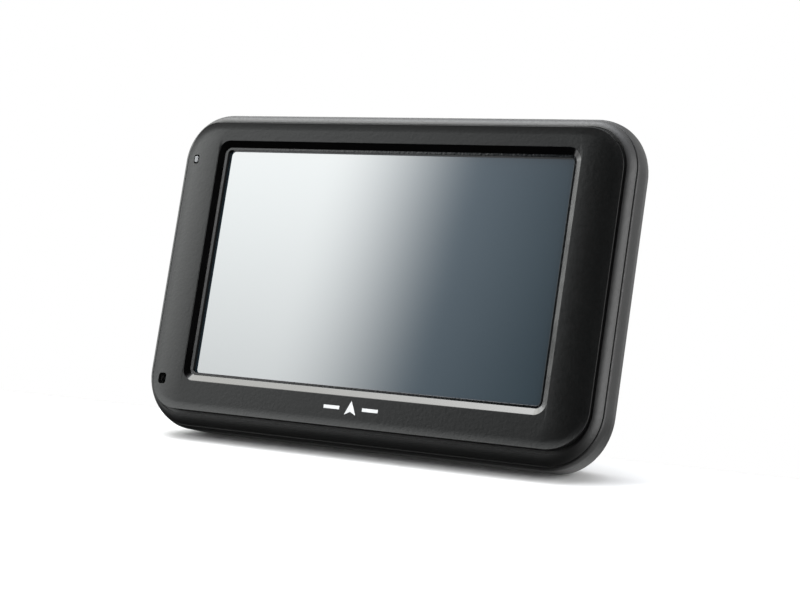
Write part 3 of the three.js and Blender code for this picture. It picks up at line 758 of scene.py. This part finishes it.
def dress_frame():
    """The CAD nodes that stay take the material of their slot."""
    slots = {entry["node"]: entry["material_slot"] for entry in frame["record"]["subparts"]}
    for name, node in frame["nodes"].items():
        if node.hide_render:
            continue
        node.data.materials.clear()
        node.data.materials.append(MATERIALS[slots[name]])


# ---------------------------------------------------------------- studio
LEAN = math.radians(15.8)  # the unit leans back by this much from the floor's upright
FLOOR_UP = Vector((0, -math.sin(LEAN), math.cos(LEAN)))
AIM = (9.05, 0, -6.83)
CAMERA_FROM = (33.17, -7.2, 0.468)  # azimuth and elevation in degrees, distance in metres
SENSOR = 36
LENS = 91.07
REST_LINE = spot(0, 15.5, FOOT + 0.8)  # a point of the line that the unit rests on, near its rear edge
FLOOR = dict(near=2.5, far=0.02, wide=3.0)  # how far the sheet reaches from that line, in metres
LINING_GAP = 0.5  # more than the unit's rear edge sinks into the sheet


def around(azimuth, elevation, distance, centre):
    """A point round another: azimuth 0 is in front of the screen and grows to the right."""
    a, e = math.radians(azimuth), math.radians(elevation)
    return centre + Vector((math.sin(a) * math.cos(e), -math.cos(a) * math.cos(e), math.sin(e))) * distance


def aimed(direction, up):
    """A rotation that points -Z along a direction with Y towards up."""
    back = -direction.normalized()
    side = up.cross(back).normalized()
    return Matrix((side, back.cross(side), back)).transposed().to_4x4()


def floor():
    """A pale sheet in the plane that the unit's lower edge rests on, white underneath."""
    side = Vector((1, 0, 0))
    forward = FLOOR_UP.cross(side)
    near, far, wide = FLOOR["near"], FLOOR["far"], FLOOR["wide"]
    corners = [(-wide, -near), (wide, -near), (wide, far), (-wide, far)]
    paper = Shader("floor_paper", Roughness=0.9, Specular_IOR_Level=0.0)
    paper.surface.inputs["Base Color"].default_value = (0.45, 0.45, 0.45, 1)
    lining = Shader("floor_lining", Roughness=1.0, Specular_IOR_Level=0.0)
    lining.surface.inputs["Base Color"].default_value = (0, 0, 0, 1)
    lining.surface.inputs["Emission Color"].default_value = (1, 1, 1, 1)
    lining.surface.inputs["Emission Strength"].default_value = 1
    for name, shader, below in (("floor", paper, 0), ("floor_underside", lining, LINING_GAP * MM)):
        points = [REST_LINE + side * x + forward * y - FLOOR_UP * below for x, y in corners]
        sheet = mesh_object(name, points, [(0, 1, 2, 3)])
        sheet.data.materials.append(shader.material)
        sheet.visible_glossy = False
        sheet.visible_diffuse = False
        sheet.visible_shadow = False


# Each card of the studio: the azimuths and the elevations where its light starts, is full, starts to fade
# and ends, in degrees round the unit (azimuth 0 in front of the screen, growing to the right), its radiance
# and its tint.
WHITE = (1, 1, 1)
CARDS = (
    # The key card at the left, whose edge shows on the screen, and the glow beside that edge.
    ((-140, -55, -36.4, -31.7), (-14, 18, 60, 80), 6.8, (1, 1, 0.96)),
    ((-125, -50, -36, -25), (-14, 18, 30, 40), 1.5, (0.86, 1, 1.15)),
    # Overhead: the card, its brightest part, and a weaker light all round.
    ((-150, -120, 60, 90), (48, 62, 91, 92), 6.0, (0.96, 0.99, 1.05)),
    ((-130, -105, -84, -66), (36, 50, 91, 92), 4.0, WHITE),
    ((-181, -180, 180, 181), (42, 62, 91, 92), 1.5, WHITE),
    # The card at the right, and a low one before the unit.
    ((28, 76, 98, 115), (-35, -20, 30, 45), 9.5, WHITE),
    ((-90, -60, -36, -15), (-28, -20, -6, 2), 2.2, WHITE),
    # The backdrop, its right and left halves.
    ((106, 132, 180, 181), (-5, 3, 50, 57), 1.7, WHITE),
    ((-181, -180, -135, -115), (5, 10, 50, 57), 0.7, WHITE),
    # The pale floor behind the unit, its right and left halves.
    ((120, 150, 180, 181), (-75, -60, -18, -8), 1.6, WHITE),
    ((-181, -180, -165, -150), (-75, -60, -18, -8), 1.6, WHITE),
)
EDGE_SLANT = 0.12  # degrees that the cards' upright edges lean for each degree of elevation
SLANT_LEVEL = 7.5  # the elevation where those edges have the azimuths above
DIM = 0.015  # the light of the room in every direction


class WorldNodes:
    """Short ways to write the world's nodes."""

    def __init__(self, tree):
        self.tree = tree

    def math(self, operation, a, b=None):
        made = self.tree.nodes.new("ShaderNodeMath")
        made.operation = operation
        for socket, value in zip(made.inputs, (a, b)):
            if isinstance(value, (int, float)):
                socket.default_value = value
            elif value is not None:
                self.tree.links.new(value, socket)
        return made.outputs[0]

    def step(self, value, start, end):
        """Rises smoothly from 0 to 1, or falls when start is above end."""
        made = self.tree.nodes.new("ShaderNodeMapRange")
        made.interpolation_type = "SMOOTHSTEP"
        made.inputs["From Min"].default_value = min(start, end)
        made.inputs["From Max"].default_value = max(start, end)
        made.inputs["To Min"].default_value = 0 if start < end else 1
        made.inputs["To Max"].default_value = 1 if start < end else 0
        self.tree.links.new(value, made.inputs["Value"])
        return made.outputs["Result"]

    def tinted(self, value, colour, added_to=None):
        """A colour scaled by a value, added to another colour or to the dim light of the room."""
        made = self.tree.nodes.new("ShaderNodeVectorMath")
        made.operation = "MULTIPLY_ADD"
        made.inputs[0].default_value = colour
        self.tree.links.new(value, made.inputs[1])
        if added_to is None:
            made.inputs[2].default_value = (DIM, DIM, DIM)
        else:
            self.tree.links.new(added_to, made.inputs[2])
        return made.outputs["Vector"]

    def span(self, value, stops):
        """1 between the middle two stops, fading to 0 at the outer ones."""
        start, full, fading, end = stops
        return self.math("MULTIPLY", self.step(value, start, full), self.step(value, end, fading))


def world():
    """The studio's cards as functions of direction, and plain white behind everything for the camera."""
    made = bpy.data.worlds.new("studio")
    bpy.context.scene.world = made
    made.use_nodes = True
    tree = made.node_tree
    nodes, links = tree.nodes, tree.links
    work = WorldNodes(tree)
    parts = nodes.new("ShaderNodeSeparateXYZ")
    links.new(nodes.new("ShaderNodeTexCoord").outputs["Generated"], parts.inputs["Vector"])
    x, y, z = parts.outputs
    degrees = 180 / math.pi
    azimuth = work.math("MULTIPLY", work.math("ARCTAN2", x, work.math("MULTIPLY", y, -1)), degrees)
    elevation = work.math("MULTIPLY", work.math("ARCSINE", z), degrees)
    lean = work.math("MULTIPLY", work.math("SUBTRACT", elevation, SLANT_LEVEL), EDGE_SLANT)
    azimuth = work.math("SUBTRACT", azimuth, lean)
    level = None
    for across, up, radiance, tint in CARDS:
        card = work.math("MULTIPLY", work.span(azimuth, across), work.span(elevation, up))
        level = work.tinted(card, [radiance * part for part in tint], level)
    light = nodes["Background"]
    links.new(level, light.inputs["Color"])
    backdrop = nodes.new("ShaderNodeBackground")
    backdrop.inputs["Color"].default_value = (1, 1, 1, 1)
    choose = nodes.new("ShaderNodeMixShader")
    links.new(nodes.new("ShaderNodeLightPath").outputs["Is Camera Ray"], choose.inputs["Fac"])
    links.new(light.outputs["Background"], choose.inputs[1])
    links.new(backdrop.outputs["Background"], choose.inputs[2])
    links.new(choose.outputs["Shader"], nodes["World Output"].inputs["Surface"])


def camera():
    """A long lens in front of the unit, to the right and a little below its middle."""
    data = bpy.data.cameras.new("camera")
    data.sensor_width = SENSOR
    data.lens = LENS
    made = bpy.data.objects.new("camera", data)
    bpy.context.scene.collection.objects.link(made)
    aim = spot(*AIM)
    place = around(*CAMERA_FROM, aim)
    made.matrix_world = Matrix.Translation(place) @ aimed(aim - place, FLOOR_UP)
    data.clip_start, data.clip_end = 0.01, 20
    bpy.context.scene.camera = made


front_bezel()
mid_frame()
rear_cover()
screen_trim()
screen_rim()
touch_panel()
face_mark()
light_pipe()
power_button()
battery_switch()
cover_screws()
rating_label()
jack_socket()
usb_contacts()
speaker_cloth()
dress_frame()

floor()
world()
camera()
bpy.context.scene.view_settings.view_transform = "Standard"
